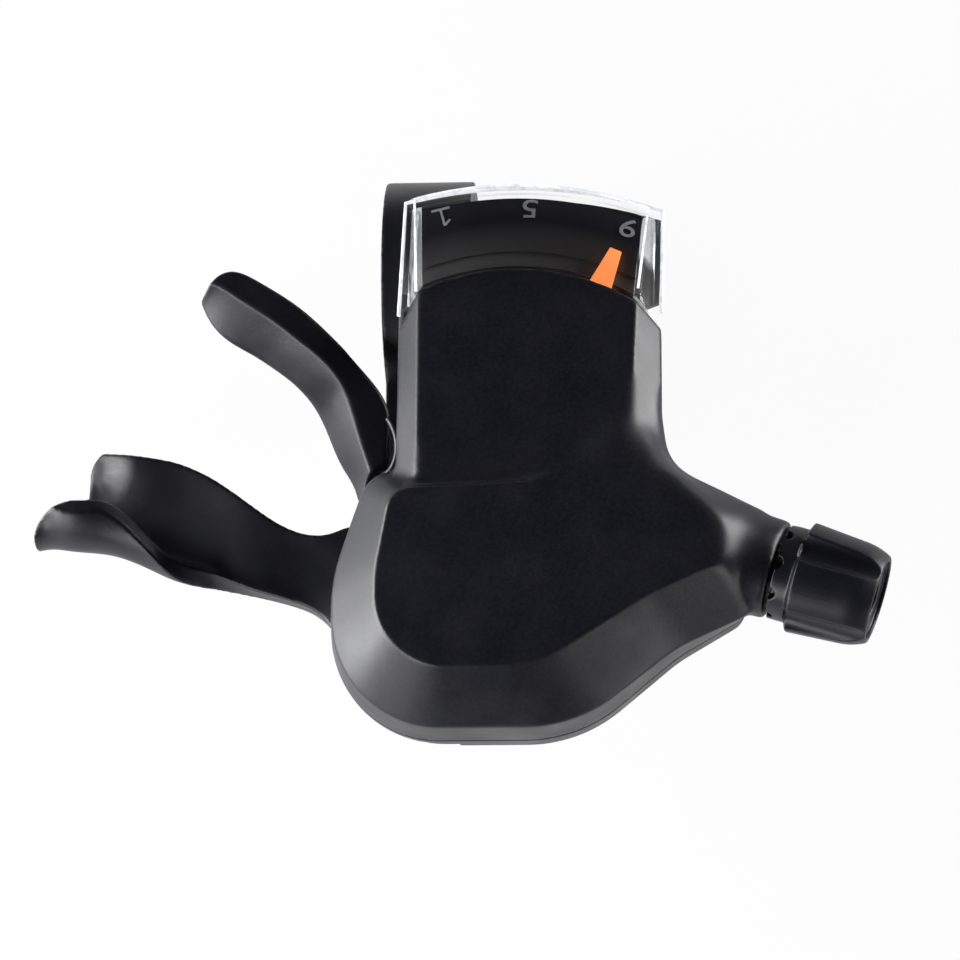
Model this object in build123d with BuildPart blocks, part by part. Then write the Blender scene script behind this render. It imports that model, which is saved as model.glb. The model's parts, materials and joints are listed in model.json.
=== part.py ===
import math
import os

from build123d import *

os.makedirs("parts", exist_ok=True)

# Trigger gear shifter for the right end of a 22.2 mm handlebar, in millimetres.
# The handlebar runs along X through the origin, Y points at the rider's side of the window,
# and Z rises from the bracket to the flat face of the cover.

# Handlebar clamp
bar_dia = 22.2
clamp_slack = 0.05
clamp_bore_r = bar_dia / 2 + clamp_slack
clamp_r = 14.2
clamp_width = 11.0
ear_half = 6.5
ear_low = -23.5
ear_gap = 2.0
bolt_z = -18.5
bolt_r = 2.5
bolt_head_r = 4.25
bolt_head_h = 5.0
hex_key = 4.0
nut_across = 8.0
nut_h = 4.0

# Clearances
running = 0.05
press = 0.02

# Axle and heights of the stack on it
axle_x = 11.0
axle_y = -39.5
axle_r = 4.0
plate_low = -0.5
plate_t = 2.5
plate_top = plate_low + plate_t
spring_h = 2.6
lever_low = plate_top + spring_h + 1.0
lever_t = 2.5
lever_top = lever_low + lever_t
washer_t = 0.5
ratchet_low = lever_top + 1.8
ratchet_t = 1.8
ratchet_top = ratchet_low + ratchet_t
spool_low = ratchet_top + 0.1
flange_t = 0.8
groove_h = 3.4
cam_disc_t = 3.5
groove_low = spool_low + flange_t
groove_top = groove_low + groove_h
spool_top = groove_top + cam_disc_t

# Covers
plateau_z = 26.0
bevel_z = 19.5
parting_z = 12.5
seam = 0.2
taper_z = 8.0
floor_low = -3.7
floor_t = 1.8
cover_wall = 1.8
bottom_taper = 2.0
flare = 0.7

# Neck, which leans back over the handlebar
neck_lean = 12.0
pivot_x = 11.3
pivot_y = -27.5
neck_face_z = 24.5
neck_bevel = 3.2
neck_skirt = 6.2
neck_wall = 1.4
lip_r = 26.6
root_z = 17.0
foot_groove_r = 1.2
foot_groove_length = 22.0

# Gear steps
clicks = 8
teeth = 27
pitch = 360 / teeth
spool_swing = clicks * pitch
needle_swing = 38.3
needle_ratio = needle_swing / spool_swing
needle_rest = 66.3
tooth_tip_r = 13.2
tooth_root_r = 11.8

# Trigger post
post_x = -3.5
post_y = -28.2
post_r = 2.0
trigger_low = 7.4
trigger_t = 2.0
pawl_low = ratchet_low + 0.1
pawl_t = ratchet_t - 0.2

# Barrel adjuster, on a line that meets the spool groove as a tangent
boss_x = 43.1
boss_y = -39.3
boss_z = 17.5
boss_turn = -18.2
boss_tilt = 6.0
boss_r = 6.1
boss_length = 12.0
boss_flare = 2.4
boss_flare_length = 8.0
boss_rim = 1.0
seat_r = 4.2
thread_r = 3.0
cable_hole_r = 0.9
knob_start = 0.35
collar_r = 5.85
collar_end = 2.6
knob_r = 6.85
knob_step = 0.4
knob_round = 3.2
knob_end_r = 5.4
knob_end = 12.75
ferrule_r = 3.3
socket_r = 2.55
socket_depth = 7.0
knob_lip = 1.0
dish_rim = 0.6
dish_depth = 0.6

axle = (axle_x, axle_y)
pivot = (pivot_x, pivot_y)
post = (post_x, post_y)


def polar(centre, radius, degrees):
    """A point at a radius and an angle from a centre."""
    turn = math.radians(degrees)
    return (centre[0] + radius * math.cos(turn), centre[1] + radius * math.sin(turn))


def turned(point, centre, degrees):
    """A point turned about a centre."""
    turn = math.radians(degrees)
    x = point[0] - centre[0]
    y = point[1] - centre[1]
    return (
        centre[0] + x * math.cos(turn) - y * math.sin(turn),
        centre[1] + x * math.sin(turn) + y * math.cos(turn),
    )


def inset_corners(corners, radii, inset):
    """Moves the sides of a closed outline inward, with its corner arcs kept concentric."""
    moved = []
    rounded = []
    for i in range(len(corners)):
        here = Vector(*corners[i])
        arriving = (here - Vector(*corners[i - 1])).normalized()
        leaving = (Vector(*corners[(i + 1) % len(corners)]) - here).normalized()
        bend = arriving.X * leaving.Y - arriving.Y * leaving.X
        reach = inset / (1 + arriving.dot(leaving))
        x = here.X - (arriving.Y + leaving.Y) * reach
        y = here.Y + (arriving.X + leaving.X) * reach
        moved.append((x, y))
        rounded.append(max(radii[i] - inset, 0.4) if bend > 0 else radii[i] + inset)
    return moved, rounded


def outline(corners, radii, plane, inset=0.0):
    """A face with straight sides and rounded corners on a plane."""
    moved, rounded = inset_corners(corners, radii, inset)
    with BuildSketch(plane) as shape:
        with BuildLine():
            Polyline(*moved, close=True)
        make_face()
        for corner, radius in zip(moved, rounded):
            fillet(shape.vertices().sort_by_distance(Vector(corner[0], corner[1], 0))[0], radius)
    return shape.sketch


def level(z):
    """The level plane at a height."""
    return Plane.XY.offset(z)


# Outline of the cover at the foot of its bevel, from the lower left round to the left
rim_corners = [
    (-10.4, -58.4),
    (18.6, -58.4),
    (31.0, -48.9),
    (40.3, -44.7),
    (43.4, -33.0),
    (30.2, -26.5),
    (29.2, -19.0),
    (14.0, -25.4),
    (-6.4, -27.0),
    (-11.0, -40.5),
]
rim_radii = [13.5, 18.0, 20.0, 3.0, 3.0, 6.0, 1.0, 4.0, 4.5, 20.0]

# At the seam the rim stands out by the flare, except towards the adjuster and the neck
flare_shares = [
    (-1.0, -1.0),
    (0.4, -1.0),
    (0.0, -0.2),
    (-2.2, 0.3),
    (-0.4, -0.2),
    (0.0, 0.0),
    (0.0, 0.0),
    (0.0, 0.0),
    (-0.8, 0.3),
    (-1.0, 0.0),
]
low_corners = [
    (corner[0] + flare * share[0], corner[1] + flare * share[1])
    for corner, share in zip(rim_corners, flare_shares)
]

# The bevel runs on under the neck on the right, where it fades into the neck's face
bevel_corners = rim_corners[:6] + [(24.5, -9.0), (11.5, -25.7)] + rim_corners[8:]

# Outline of the flat face, corner for corner
plateau_corners = [
    (-5.2, -51.9),
    (13.8, -51.9),
    (27.5, -43.4),
    (37.4, -38.9),
    (36.6, -34.4),
    (30.6, -28.4),
    (24.0, -28.8),
    (12.0, -29.8),
    (-3.2, -30.3),
    (-5.0, -40.0),
]
plateau_radii = [8.8, 16.0, 15.0, 2.4, 3.0, 2.0, 30.0, 30.0, 3.0, 15.0]

# The lower shell runs further under the neck
base_corners = low_corners[:6] + [(29.2, -18.5), (1.9, -18.5), (1.9, -27.6)] + low_corners[8:]
base_radii = rim_radii[:6] + [2.0, 1.0, 1.0] + rim_radii[8:]

lean = math.radians(neck_lean)
neck_plane = Plane(
    origin=(pivot_x, pivot_y, neck_face_z),
    x_dir=(1, 0, 0),
    z_dir=(0, math.sin(lean), math.cos(lean)),
)
neck_wide = [(-14.3, -5.0), (18.1, -5.0), (18.0, 32.0), (-14.3, 32.0)]
foot_groove_start = (-6.0, -28.6, 25.2)
foot_groove_run = (22.0, 0.2, 1.6)
neck_narrow = [(-11.4, -5.0), (13.8, -5.0), (15.5, 32.0), (-11.8, 32.0)]
square = [0.4, 0.4, 0.4, 0.4]

turn = math.radians(boss_turn)
tilt = math.radians(boss_tilt)
boss_axis = (
    math.cos(turn) * math.cos(tilt),
    math.sin(turn) * math.cos(tilt),
    math.sin(tilt),
)
boss_plane = Plane(origin=(boss_x, boss_y, boss_z), x_dir=(0, 0, 1), z_dir=boss_axis)

hub_low = neck_face_z - 3.5
hub_t = 0.7
screw_spots = [(26.6, -46.9), (25.4, -24.2), (4.5, -22.0)]
screw_tops = [21.5, 22.4, 21.9]
screw_r = 1.1
screw_post_r = 2.0


# Clear window: a bevelled cap whose side walls run down the neck as two tapering wings
lens_top = 0.9
lens_low = -2.9
lens_t = 0.9
lens_foot = [(-14.3, 19.5), (18.05, 19.5), (18.4, 35.6), (-13.8, 37.2)]
lens_crown = [(-11.9, 19.5), (15.2, 19.5), (16.7, 34.3), (-12.4, 36.0)]
lens_foot_crest = (1.8, 39.0)
lens_crown_crest = (1.8, 37.7)


def lens_outline(corners, crest, height, inset):
    """The window's outline with its arched far side."""
    left_low = (corners[0][0] + inset, corners[0][1] - 1)
    right_low = (corners[1][0] - inset, corners[1][1] - 1)
    right_top = (corners[2][0] - inset, corners[2][1] - inset)
    left_top = (corners[3][0] + inset, corners[3][1] - inset)
    crest_in = (crest[0], crest[1] - inset)
    with BuildSketch(neck_plane.offset(height)) as shape:
        with BuildLine():
            Line(left_low, right_low)
            Line(right_low, right_top)
            ThreePointArc(right_top, crest_in, left_top)
            Line(left_top, left_low)
        make_face()
    return shape.sketch


with BuildPart() as display_lens:
    loft(
        sections=[
            lens_outline(lens_foot, lens_foot_crest, lens_low, 0),
            lens_outline(lens_crown, lens_crown_crest, lens_top, 0),
        ],
        ruled=True,
    )
    fillet(display_lens.faces().sort_by(SortBy.DISTANCE).edges().filter_by(GeomType.CIRCLE), 0.3)
    loft(
        sections=[
            lens_outline(lens_foot, lens_foot_crest, lens_low - 0.01, lens_t),
            lens_outline(lens_crown, lens_crown_crest, lens_top - lens_t, lens_t),
        ],
        ruled=True,
        mode=Mode.SUBTRACT,
    )
    with BuildSketch(neck_plane):
        with BuildLine():
            Line((-14.5, 18.0), (-14.2, 19.8))
            Line((-14.2, 19.8), polar((0, 0), lip_r + 0.1, 115.5))
            ThreePointArc(
                polar((0, 0), lip_r + 0.1, 115.5),
                polar((0, 0), lip_r + 0.1, 90),
                polar((0, 0), lip_r + 0.1, 57),
            )
            Line(polar((0, 0), lip_r + 0.1, 57), (17.9, 19.8))
            Line((17.9, 19.8), (18.3, 18.0))
            Line((18.3, 18.0), (-14.5, 18.0))
        make_face()
    extrude(amount=6, both=True, mode=Mode.SUBTRACT)

# Upper shell
with BuildPart() as top_cover:
    loft(
        sections=[
            outline(low_corners, rim_radii, level(parting_z)),
            outline(rim_corners, rim_radii, level(bevel_z)),
        ],
        ruled=True,
    )
    loft(
        sections=[
            outline(bevel_corners, rim_radii, level(bevel_z)),
            outline(plateau_corners, plateau_radii, level(plateau_z)),
        ],
        ruled=True,
    )
    # Root of the neck, down to the lower shell
    extrude(
        to_extrude=outline(base_corners, base_radii, level(parting_z), flare),
        amount=root_z - parting_z,
    )
    # Neck with bevelled flanks
    loft(
        sections=[
            outline(neck_wide, square, neck_plane.offset(-neck_bevel)),
            outline(neck_narrow, square, neck_plane),
        ],
        ruled=True,
    )
    extrude(
        to_extrude=outline(neck_wide, square, neck_plane.offset(-neck_skirt)),
        amount=neck_skirt - neck_bevel,
    )
    # Adjuster boss, which swells towards the plateau
    with BuildSketch(boss_plane.offset(-boss_flare_length)):
        with Locations((boss_flare / 2, 0)):
            Ellipse(boss_r + boss_flare / 2, boss_r)
    with BuildSketch(boss_plane.offset(-boss_rim)):
        Circle(boss_r)
    loft(ruled=True)
    # Round groove at the foot of the neck, which fades towards the adjuster
    with BuildSketch(Plane(origin=foot_groove_start, z_dir=foot_groove_run)):
        Circle(foot_groove_r)
    extrude(amount=foot_groove_length, mode=Mode.SUBTRACT)
    # Hollow of the body
    extrude(
        to_extrude=outline(rim_corners, rim_radii, level(parting_z - 4), cover_wall),
        amount=bevel_z - parting_z + 3.1,
        mode=Mode.SUBTRACT,
    )
    extrude(
        to_extrude=outline(base_corners, base_radii, level(parting_z - 1), cover_wall),
        amount=root_z - parting_z + 1,
        mode=Mode.SUBTRACT,
    )
    loft(
        sections=[
            outline(rim_corners, rim_radii, level(bevel_z - 0.9), cover_wall),
            outline(plateau_corners, plateau_radii, level(plateau_z - cover_wall), cover_wall / 2),
        ],
        ruled=True,
        mode=Mode.SUBTRACT,
    )
    # Hollow of the neck
    loft(
        sections=[
            outline(neck_wide, square, neck_plane.offset(-neck_bevel), neck_wall),
            outline(neck_narrow, square, neck_plane.offset(-neck_wall), neck_wall * 0.6),
        ],
        ruled=True,
        mode=Mode.SUBTRACT,
    )
    extrude(
        to_extrude=outline(neck_wide, square, neck_plane.offset(-neck_skirt - 2), neck_wall),
        amount=neck_skirt + 2 - neck_bevel,
        mode=Mode.SUBTRACT,
    )
    # Arched lip at the window
    with BuildSketch(neck_plane):
        with Locations((1, 30)):
            Rectangle(50, 30)
        Circle(lip_r, mode=Mode.SUBTRACT)
    extrude(amount=20, both=True, mode=Mode.SUBTRACT)
    # Boss again, with the bores of the seat and the cable
    with BuildSketch(boss_plane):
        Circle(boss_r)
    extrude(amount=-boss_length)
    chamfer(top_cover.faces().sort_by(Axis(boss_plane.origin, boss_plane.z_dir))[-1].edges(), 0.25)
    with BuildSketch(boss_plane):
        Circle(seat_r + press)
    extrude(amount=-9.0, mode=Mode.SUBTRACT)
    with BuildSketch(boss_plane):
        Circle(thread_r + 0.4)
    extrude(amount=-boss_length - 1, mode=Mode.SUBTRACT)
    # Screw posts and the boss of the needle's pin
    for spot, top in zip(screw_spots, screw_tops):
        with BuildSketch(level(parting_z)):
            with Locations(spot):
                Circle(screw_post_r)
        extrude(amount=top - parting_z)
        with BuildSketch(level(parting_z)):
            with Locations(spot):
                Circle(screw_r + press)
        extrude(amount=top - parting_z - 1.5, mode=Mode.SUBTRACT)
    with BuildSketch(level(hub_low + hub_t + 0.25)):
        with Locations(pivot):
            Circle(2.6)
    extrude(amount=1.9)
    with BuildSketch(level(hub_low)):
        with Locations(pivot):
            Circle(1.25 + press)
    extrude(amount=2.3, mode=Mode.SUBTRACT)
    add(display_lens.part, mode=Mode.SUBTRACT)

# Lower shell
with BuildPart() as bottom_cover:
    extrude(
        to_extrude=outline(base_corners, base_radii, level(taper_z)),
        amount=parting_z - seam - taper_z,
    )
    loft(
        sections=[
            outline(base_corners, base_radii, level(taper_z)),
            outline(base_corners, base_radii, level(floor_low), bottom_taper),
        ],
        ruled=True,
    )
    extrude(
        to_extrude=outline(base_corners, base_radii, level(taper_z), cover_wall),
        amount=parting_z - taper_z,
        mode=Mode.SUBTRACT,
    )
    loft(
        sections=[
            outline(base_corners, base_radii, level(taper_z), cover_wall),
            outline(base_corners, base_radii, level(floor_low + floor_t), bottom_taper + cover_wall * 0.6),
        ],
        ruled=True,
        mode=Mode.SUBTRACT,
    )
    # Posts for the screws, with countersunk seats from below
    for spot in screw_spots:
        with BuildSketch(level(floor_low)):
            with Locations(spot):
                Circle(screw_post_r)
        extrude(amount=parting_z - seam - floor_low)
        with BuildSketch(level(floor_low)):
            with Locations(spot):
                Circle(screw_r + 0.15)
        extrude(amount=parting_z - floor_low, mode=Mode.SUBTRACT)
        with BuildSketch(level(floor_low)):
            with Locations(spot):
                Circle(1.75)
        extrude(amount=1.3, mode=Mode.SUBTRACT)
    # Way out of the thumb lever
    with BuildSketch(level(lever_low - 1.4)):
        with Locations((-6.5, -46.0)):
            Rectangle(21, 36)
    extrude(amount=lever_t + 3.2, mode=Mode.SUBTRACT)
    # Way out of the trigger and of the bracket's arm
    with BuildSketch(level(floor_low + floor_t)):
        with Locations((-3.0, -27.5)):
            Rectangle(9.2, 24)
    extrude(amount=20, mode=Mode.SUBTRACT)
    # Round seat of the adjuster boss
    with BuildSketch(boss_plane):
        Circle(boss_r + 0.15)
    extrude(amount=20, both=True, mode=Mode.SUBTRACT)

# Clamp ring, arm and base plate
with BuildPart() as bracket:
    with BuildSketch(Plane.YZ.offset(-clamp_width / 2)):
        Circle(clamp_r)
    extrude(amount=clamp_width)
    with BuildSketch(Plane.YZ.offset(-clamp_width / 2)):
        with Locations((0, (ear_low - 12) / 2)):
            Rectangle(2 * ear_half, -12 - ear_low)
    extrude(amount=clamp_width)
    with BuildSketch(level(plate_low)):
        with Locations(axle):
            Circle(11)
        with Locations((-2.0, -29.0)):
            Rectangle(7.0, 22)
    extrude(amount=plate_t)
    with BuildSketch(level(plate_low)):
        with Locations((-2.0, -17.0)):
            Rectangle(7.0, 14)
    extrude(amount=6.5)
    with BuildSketch(Plane.YZ.offset(-clamp_width / 2)):
        Circle(clamp_bore_r)
    extrude(amount=clamp_width, mode=Mode.SUBTRACT)
    with BuildSketch(Plane.YZ.offset(-clamp_width / 2)):
        with Locations((0, ear_low / 2 - 5)):
            Rectangle(ear_gap, -ear_low)
    extrude(amount=clamp_width, mode=Mode.SUBTRACT)
    with BuildSketch(Plane.XZ):
        with Locations((0, bolt_z)):
            Circle(bolt_r + 0.15)
    extrude(amount=ear_half + 1, both=True, mode=Mode.SUBTRACT)
    with BuildSketch(level(plate_low)):
        with Locations(axle):
            Circle(axle_r + press)
        with Locations(post):
            Circle(post_r + press)
    extrude(amount=plate_t, mode=Mode.SUBTRACT)
    # Lightening pocket in the arm
    with BuildSketch(level(plate_low + 6.5)):
        with Locations((-1.6, -19.0)):
            RectangleRounded(4.6, 6.5, 1.8)
    extrude(amount=-2.5, mode=Mode.SUBTRACT)

with BuildPart() as clamp_bolt:
    with BuildSketch(Plane.XZ.offset(-ear_half)):
        with Locations((0, bolt_z)):
            Circle(bolt_head_r)
    extrude(amount=-bolt_head_h)
    fillet(clamp_bolt.edges().group_by(Axis.Y)[-1], 0.5)
    with BuildSketch(Plane.XZ.offset(-ear_half)):
        with Locations((0, bolt_z)):
            Circle(bolt_r)
    extrude(amount=2 * ear_half + nut_h + 0.8)
    with BuildSketch(Plane.XZ.offset(-ear_half - bolt_head_h)):
        with Locations((0, bolt_z)):
            RegularPolygon(hex_key / 2, 6, major_radius=False)
    extrude(amount=2.6, mode=Mode.SUBTRACT)

with BuildPart() as clamp_nut:
    with BuildSketch(Plane.XZ.offset(ear_half)):
        with Locations((0, bolt_z)):
            RegularPolygon(nut_across / 2, 6, major_radius=False)
            Circle(bolt_r + press, mode=Mode.SUBTRACT)
    extrude(amount=nut_h)

with BuildPart() as main_axle:
    with BuildSketch(level(plate_low - 1.1)):
        with Locations(axle):
            Circle(6)
    extrude(amount=1.1)
    with BuildSketch(level(plate_low)):
        with Locations(axle):
            Circle(axle_r)
    extrude(amount=spool_top + 0.15 - plate_low)
    with BuildSketch(level(spool_top)):
        with Locations(axle):
            Circle(2.4)
    extrude(amount=2.2)
    chamfer(main_axle.edges().group_by(Axis.Z)[-1], 0.3)

with BuildPart() as axle_washer:
    with BuildSketch(level(lever_top + 0.1)):
        with Locations(axle):
            Circle(6)
            Circle(axle_r + running, mode=Mode.SUBTRACT)
    extrude(amount=washer_t)

with BuildPart() as axle_nut:
    with BuildSketch(level(spool_top + 0.16)):
        with Locations(axle):
            RegularPolygon(3.6, 6, major_radius=False)
            Circle(2.4 + press, mode=Mode.SUBTRACT)
    extrude(amount=1.7)

screws = []
for spot, top in zip(screw_spots, screw_tops):
    with BuildPart() as screw:
        with BuildSketch(level(floor_low + 0.1)):
            with Locations(spot):
                Circle(1.65)
        extrude(amount=1.1)
        with BuildSketch(level(floor_low + 1.2)):
            with Locations(spot):
                Circle(screw_r)
        extrude(amount=top - 2 - floor_low - 1.2)
        with BuildSketch(level(floor_low + 0.1)):
            with Locations(spot):
                Rectangle(1.9, 0.45)
                Rectangle(0.45, 1.9)
        extrude(amount=0.6, mode=Mode.SUBTRACT)
    screws.append(screw)
cover_screw_a = screws[0]
cover_screw_b = screws[1]
cover_screw_c = screws[2]

# Floor of the window and the number ring on it
floor_n = -2.95
floor_plate = 0.8
base_near = [
    (-13.6, 35.8),
    (-14.1, 25.2),
    (-11.6, 24.2),
    (-11.6, 4.5),
    (14.2, 4.5),
    (15.0, 21.8),
    (17.8, 23.0),
    (18.2, 34.2),
]
base_crest = (1.8, 37.4)
with BuildPart() as indicator_base:
    with BuildSketch(neck_plane.offset(floor_n)):
        with BuildLine():
            Polyline(*base_near)
            ThreePointArc(base_near[-1], base_crest, base_near[0])
        make_face()
    extrude(amount=-floor_plate)
    for spot in screw_spots[1:]:
        with BuildSketch(level(10)):
            with Locations(spot):
                Circle(screw_post_r + 0.2)
        extrude(amount=16, mode=Mode.SUBTRACT)

dial_in_r = 28.1
dial_rib = 0.35
dial_foot_r = 30.1
dial_foot_n = floor_n + 0.4
dial_track_n = floor_n + 0.15
dial_step_r = 33.9
dial_out_r = 38.4
dial_top_n = -1.6
with BuildPart() as dial_plate:
    with BuildSketch(Plane(origin=neck_plane.origin, x_dir=neck_plane.y_dir, z_dir=neck_plane.x_dir)):
        with BuildLine():
            Polyline(
                (dial_in_r, floor_n),
                (dial_out_r, floor_n),
                (dial_out_r, dial_top_n),
                (dial_step_r, dial_top_n),
                (dial_foot_r, dial_foot_n),
                (dial_foot_r, dial_track_n),
                (dial_in_r + dial_rib, dial_track_n),
                (dial_in_r + dial_rib, dial_foot_n),
                (dial_in_r, dial_foot_n),
                close=True,
            )
        make_face()
    revolve(axis=Axis(neck_plane.origin, neck_plane.z_dir), revolution_arc=360)
    with BuildSketch(neck_plane.offset(floor_n)):
        with BuildLine():
            Line((-12.0, 24.0), (15.7, 24.0))
            Line((15.7, 24.0), (15.9, 33.5))
            ThreePointArc((15.9, 33.5), (1.8, 36.9), (-11.9, 35.2))
            Line((-11.9, 35.2), (-12.0, 24.0))
        make_face()
    extrude(amount=3, both=True, mode=Mode.INTERSECT)

# Pointer: hub, tail pin in the cam groove, arm bent to follow the neck, level tip
tail_r = 6.5
tail_rest = 195.0
tail_pin_r = 0.8
tip_low = neck_face_z - 7.8
tip_t = 0.5
tip_start = 25.4
tip_end = 31.2
needle_frame = Plane(
    origin=(pivot_x, pivot_y, 0),
    x_dir=(*polar((0, 0), 1, needle_rest), 0),
    z_dir=(0, 0, 1),
)
needle_side = Plane(origin=needle_frame.origin, x_dir=needle_frame.x_dir, z_dir=-needle_frame.y_dir)
with BuildPart() as indicator_needle:
    with BuildSketch(needle_side):
        with BuildLine():
            Polyline(
                (-3.0, hub_low),
                (3.6, hub_low),
                (tip_start, tip_low),
                (tip_end, tip_low),
                (tip_end, tip_low + tip_t),
                (tip_start, tip_low + tip_t),
                (3.6, hub_low + hub_t),
                (-3.0, hub_low + hub_t),
                close=True,
            )
        make_face()
    extrude(amount=4, both=True)
    with BuildSketch(needle_frame):
        Circle(2.8)
        with BuildLine():
            Polyline(
                (0, -1.7),
                (tip_start, -1.55),
                (tip_end, -0.75),
                (tip_end, 0.75),
                (tip_start, 1.55),
                (0, 1.7),
                close=True,
            )
        make_face()
    extrude(amount=40, mode=Mode.INTERSECT)
    with BuildSketch(level(hub_low)):
        with Locations(polar(pivot, tail_r / 2, tail_rest)):
            Rectangle(tail_r, 2.4, rotation=tail_rest)
        with Locations(polar(pivot, tail_r, tail_rest)):
            Circle(1.2)
    extrude(amount=hub_t)
    with BuildSketch(level(spool_top - 1.0)):
        with Locations(polar(pivot, tail_r, tail_rest)):
            Circle(tail_pin_r)
    extrude(amount=hub_low - spool_top + 1.0)
    with BuildSketch(level(0)):
        with Locations(pivot):
            Circle(1.25 + running)
    extrude(amount=40, mode=Mode.SUBTRACT)

with BuildPart() as needle_pivot_pin:
    with BuildSketch(level(hub_low - 0.65)):
        with Locations(pivot):
            Circle(2.1)
    extrude(amount=0.5)
    with BuildSketch(level(hub_low - 0.15)):
        with Locations(pivot):
            Circle(1.25)
    extrude(amount=2.3)

# Cable drum with the cam groove of the pointer in its top disc
cam_points = []
for step in range(-1, 10):
    swing = spool_swing * step / clicks
    pin_spot = polar(pivot, tail_r, tail_rest + needle_ratio * swing)
    cam_points.append(turned(pin_spot, axle, -swing))
flange_r = 13.0
cam_disc_r = 13.9
cable_r = abs((boss_x - axle_x) * math.sin(turn) - (boss_y - axle_y) * math.cos(turn))
groove_r = cable_r - 0.6
with BuildPart() as cable_spool:
    with BuildSketch(level(spool_low)):
        with Locations(axle):
            Circle(flange_r)
    extrude(amount=flange_t)
    with BuildSketch(level(groove_low)):
        with Locations(axle):
            Circle(groove_r)
    extrude(amount=groove_h)
    with BuildSketch(level(groove_top)):
        with Locations(axle):
            Circle(cam_disc_r)
    extrude(amount=cam_disc_t)
    with BuildSketch(level(spool_top)):
        with BuildLine() as cam_path:
            Spline(*cam_points)
        trace(line_width=2 * tail_pin_r + 0.4)
    extrude(amount=-1.3, mode=Mode.SUBTRACT)
    with BuildSketch(level(groove_low)):
        with Locations(polar(axle, cable_r, 97)):
            Circle(2.4)
    extrude(amount=groove_h, mode=Mode.SUBTRACT)
    with BuildSketch(level(spool_low)):
        with Locations(axle):
            Circle(axle_r + running)
    extrude(amount=spool_top - spool_low, mode=Mode.SUBTRACT)

# Ratchet wheel: each gap has a radial face on the side that the pawls push
gap_face = 24.8
gap_span = 10.0
with BuildPart() as ratchet_wheel:
    with BuildSketch(level(ratchet_low)):
        with Locations(axle):
            Circle(tooth_tip_r)
        for tooth in range(teeth):
            face = gap_face + tooth * pitch
            with BuildLine():
                Polyline(
                    polar(axle, tooth_tip_r + 0.4, face),
                    polar(axle, tooth_root_r, face),
                    polar(axle, tooth_tip_r + 0.4, face - gap_span),
                    close=True,
                )
            make_face(mode=Mode.SUBTRACT)
    extrude(amount=ratchet_t)
    with BuildSketch(level(ratchet_low)):
        with Locations(axle):
            Circle(6.5)
    extrude(amount=-1.1)
    with BuildSketch(level(ratchet_low - 1.1)):
        with Locations(axle):
            Circle(axle_r + running)
    extrude(amount=ratchet_t + 1.1, mode=Mode.SUBTRACT)

# Thumb lever: steel plate with the driving pawl on its short arm
feed_angle = -8.0
feed_r = 16.8
feed_spot = polar(axle, feed_r, feed_angle)
arm_end = (-22.0, -35.2)
arm_length = math.dist(axle, arm_end)
arm_angle = math.degrees(math.atan2(arm_end[1] - axle_y, arm_end[0] - axle_x))
with BuildPart() as main_lever_plate:
    with BuildSketch(level(lever_low)):
        with Locations(axle):
            Circle(8.5)
        with Locations(polar(axle, arm_length / 2, arm_angle)):
            Rectangle(arm_length, 5.0, rotation=arm_angle)
        with Locations(polar(axle, feed_r / 2, feed_angle)):
            Rectangle(feed_r, 5.6, rotation=feed_angle)
        with Locations(feed_spot):
            Circle(2.8)
        with Locations(axle):
            Circle(axle_r + running, mode=Mode.SUBTRACT)
        with Locations(feed_spot):
            Circle(1.3 + press, mode=Mode.SUBTRACT)
    extrude(amount=lever_t)

with BuildPart() as feed_pawl_pin:
    with BuildSketch(level(lever_low)):
        with Locations(feed_spot):
            Circle(1.3)
    extrude(amount=ratchet_top - lever_low + 0.3)
    with BuildSketch(level(lever_top)):
        with Locations(feed_spot):
            Circle(2.2)
    extrude(amount=pawl_low - lever_top - 0.1)

feed_nose = polar(axle, 14.3, 22.0)
with BuildPart() as feed_pawl:
    with BuildSketch(level(pawl_low)):
        with Locations(feed_spot):
            Circle(2.5)
        with BuildLine():
            Polyline(
                (feed_spot[0] + 1.9, feed_spot[1] + 1.0),
                polar(axle, 16.4, 19.0),
                feed_nose,
                polar(axle, 15.0, 17.5),
                (feed_spot[0] - 1.7, feed_spot[1] + 1.2),
                (feed_spot[0], feed_spot[1] - 1.0),
                close=True,
            )
        make_face()
        with Locations(feed_spot):
            Circle(1.3 + running, mode=Mode.SUBTRACT)
    extrude(amount=pawl_t)

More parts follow.
